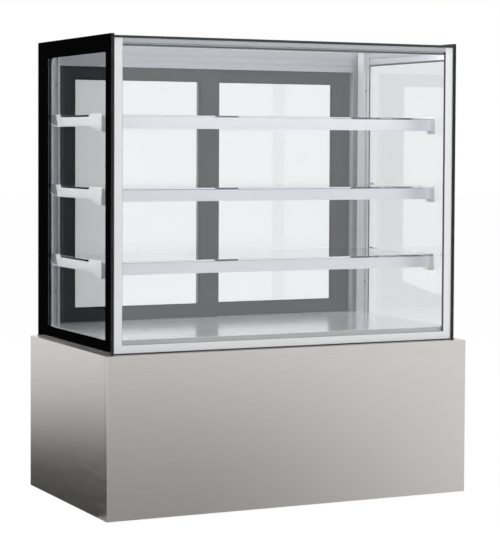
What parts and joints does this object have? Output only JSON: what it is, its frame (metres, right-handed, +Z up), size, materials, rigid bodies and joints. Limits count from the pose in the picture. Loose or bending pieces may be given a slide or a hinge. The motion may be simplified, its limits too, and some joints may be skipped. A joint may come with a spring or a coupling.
{
  "type": "refrigerated display case",
  "caption": "Free-standing refrigerated display case: glass box with shelves and sliding rear doors over a steel base that holds the refrigeration unit.",
  "frame": {"origin": "middle of the footprint, on the floor", "axes": "+X to the right seen from the customer's side, +Y from the customer's side to the staff side, +Z up"},
  "size_m": [1.2, 0.66, 1.4],
  "materials": {
    "brushed_stainless": "fine horizontal brushing",
    "rear_stainless": "satin sheet",
    "polished_stainless": "mirror polished",
    "galvanised_steel": "zinc coated",
    "zinc_screw": "zinc plated",
    "foot_steel": "zinc plated",
    "black_abs": "moulded",
    "button_rubber": "moulded",
    "rocker_plastic": "moulded",
    "compressor_paint": "semi gloss enamel",
    "mount_rubber": "moulded",
    "coil_aluminium": "fin stock",
    "shroud_paint": "powder coat",
    "motor_casing": "cast",
    "fan_plastic": "moulded",
    "copper_pipe": "drawn tube",
    "tray_plastic": "moulded",
    "hose_pvc": "extruded",
    "insulation": "skinned foam",
    "clear_glass": "toughened",
    "black_spacer": "sealed spacer",
    "black_enamel": "fired enamel print",
    "silver_enamel": "fired enamel print",
    "satin_aluminium": "satin anodised",
    "white_powder_coat": "powder coat",
    "opal_diffuser": "opal acrylic",
    "black_aluminium": "black anodised",
    "nylon": "moulded"
  },
  "bodies": {
    "cabinet": {"front_panel": "brushed_stainless", "left_side_panel": "brushed_stainless", "right_side_panel": "brushed_stainless", "top_ledge": "brushed_stainless", "service_grille": "rear_stainless", "control_fascia": "rear_stainless", "deck": "polished_stainless", "base_frame": "galvanised_steel", "base_pan": "galvanised_steel", "panel_screws": "zinc_screw", "controller_body": "black_abs", "switch_bezels": "black_abs", "cable_gland": "black_abs", "compressor": "compressor_paint", "compressor_mounts": "mount_rubber", "condenser_coil": "coil_aluminium", "evaporator_coil": "coil_aluminium", "condenser_shroud": "shroud_paint", "evaporator_fan_plate": "shroud_paint", "condenser_fan_motor": "motor_casing", "evaporator_fan_motors": "motor_casing", "refrigerant_pipes": "copper_pipe", "condensate_tray": "tray_plastic", "drain_hose": "hose_pvc", "insulated_well": "insulation", "left_side_glass": "clear_glass", "right_side_glass": "clear_glass", "front_glass": "clear_glass", "top_glass": "clear_glass", "lower_shelf": "clear_glass", "middle_shelf": "clear_glass", "upper_shelf": "clear_glass", "glass_spacers": "black_spacer", "side_glass_borders": "black_enamel", "front_glass_border": "silver_enamel", "lamp_profile": "satin_aluminium", "uprights": "satin_aluminium", "rear_header": "satin_aluminium", "door_surround": "satin_aluminium", "shelf_arms": "white_powder_coat", "shelf_lights": "white_powder_coat", "light_diffusers": "opal_diffuser"},
    "left_door": {"left_door_frame": "black_aluminium", "left_door_glass": "clear_glass", "left_door_glides": "nylon"},
    "right_door": {"right_door_frame": "black_aluminium", "right_door_glass": "clear_glass", "right_door_glides": "nylon"},
    "condenser_fan": {"condenser_fan": "fan_plastic"},
    "left_evaporator_fan": {"left_evaporator_fan": "fan_plastic"},
    "right_evaporator_fan": {"right_evaporator_fan": "fan_plastic"},
    "set_button": {"set_button": "button_rubber"},
    "up_button": {"up_button": "button_rubber"},
    "down_button": {"down_button": "button_rubber"},
    "power_rocker": {"power_rocker": "rocker_plastic"},
    "light_rocker": {"light_rocker": "rocker_plastic"},
    "foot_front_left": {"foot_front_left": "foot_steel"},
    "foot_front_right": {"foot_front_right": "foot_steel"},
    "foot_rear_left": {"foot_rear_left": "foot_steel"},
    "foot_rear_right": {"foot_rear_right": "foot_steel"}
  },
  "joints": [
    {"name": "left_door_slide", "type": "slide", "parent": "cabinet", "child": "left_door", "axis": [1, 0, 0], "range_m": [0, 0.49]},
    {"name": "right_door_slide", "type": "slide", "parent": "cabinet", "child": "right_door", "axis": [1, 0, 0], "range_m": [-0.49, 0]},
    {"name": "condenser_fan_spin", "type": "hinge", "parent": "cabinet", "child": "condenser_fan", "pos_m": [0, 0.2105, 0.157], "axis": [0, 1, 0], "continuous": true},
    {"name": "left_evaporator_fan_spin", "type": "hinge", "parent": "cabinet", "child": "left_evaporator_fan", "pos_m": [-0.22, -0.1, 0.4285], "axis": [0, 1, 0], "continuous": true},
    {"name": "right_evaporator_fan_spin", "type": "hinge", "parent": "cabinet", "child": "right_evaporator_fan", "pos_m": [0.22, -0.1, 0.4285], "axis": [0, 1, 0], "continuous": true},
    {"name": "set_button_press", "type": "slide", "parent": "cabinet", "child": "set_button", "axis": [0, -1, 0], "range_m": [0, 0.0014], "stiffness_N_per_m": 400},
    {"name": "up_button_press", "type": "slide", "parent": "cabinet", "child": "up_button", "axis": [0, -1, 0], "range_m": [0, 0.0014], "stiffness_N_per_m": 400},
    {"name": "down_button_press", "type": "slide", "parent": "cabinet", "child": "down_button", "axis": [0, -1, 0], "range_m": [0, 0.0014], "stiffness_N_per_m": 400},
    {"name": "power_rocker_tip", "type": "hinge", "parent": "cabinet", "child": "power_rocker", "pos_m": [0.318, 0.3195, 0.421], "axis": [1, 0, 0], "range_deg": [-16, 0]},
    {"name": "light_rocker_tip", "type": "hinge", "parent": "cabinet", "child": "light_rocker", "pos_m": [0.278, 0.3195, 0.421], "axis": [1, 0, 0], "range_deg": [-16, 0]},
    {"name": "foot_front_left_screw", "type": "slide", "parent": "cabinet", "child": "foot_front_left", "axis": [0, 0, -1], "range_m": [0, 0.012]},
    {"name": "foot_front_right_screw", "type": "slide", "parent": "cabinet", "child": "foot_front_right", "axis": [0, 0, -1], "range_m": [0, 0.012]},
    {"name": "foot_rear_left_screw", "type": "slide", "parent": "cabinet", "child": "foot_rear_left", "axis": [0, 0, -1], "range_m": [0, 0.012]},
    {"name": "foot_rear_right_screw", "type": "slide", "parent": "cabinet", "child": "foot_rear_right", "axis": [0, 0, -1], "range_m": [0, 0.012]}
  ]
}
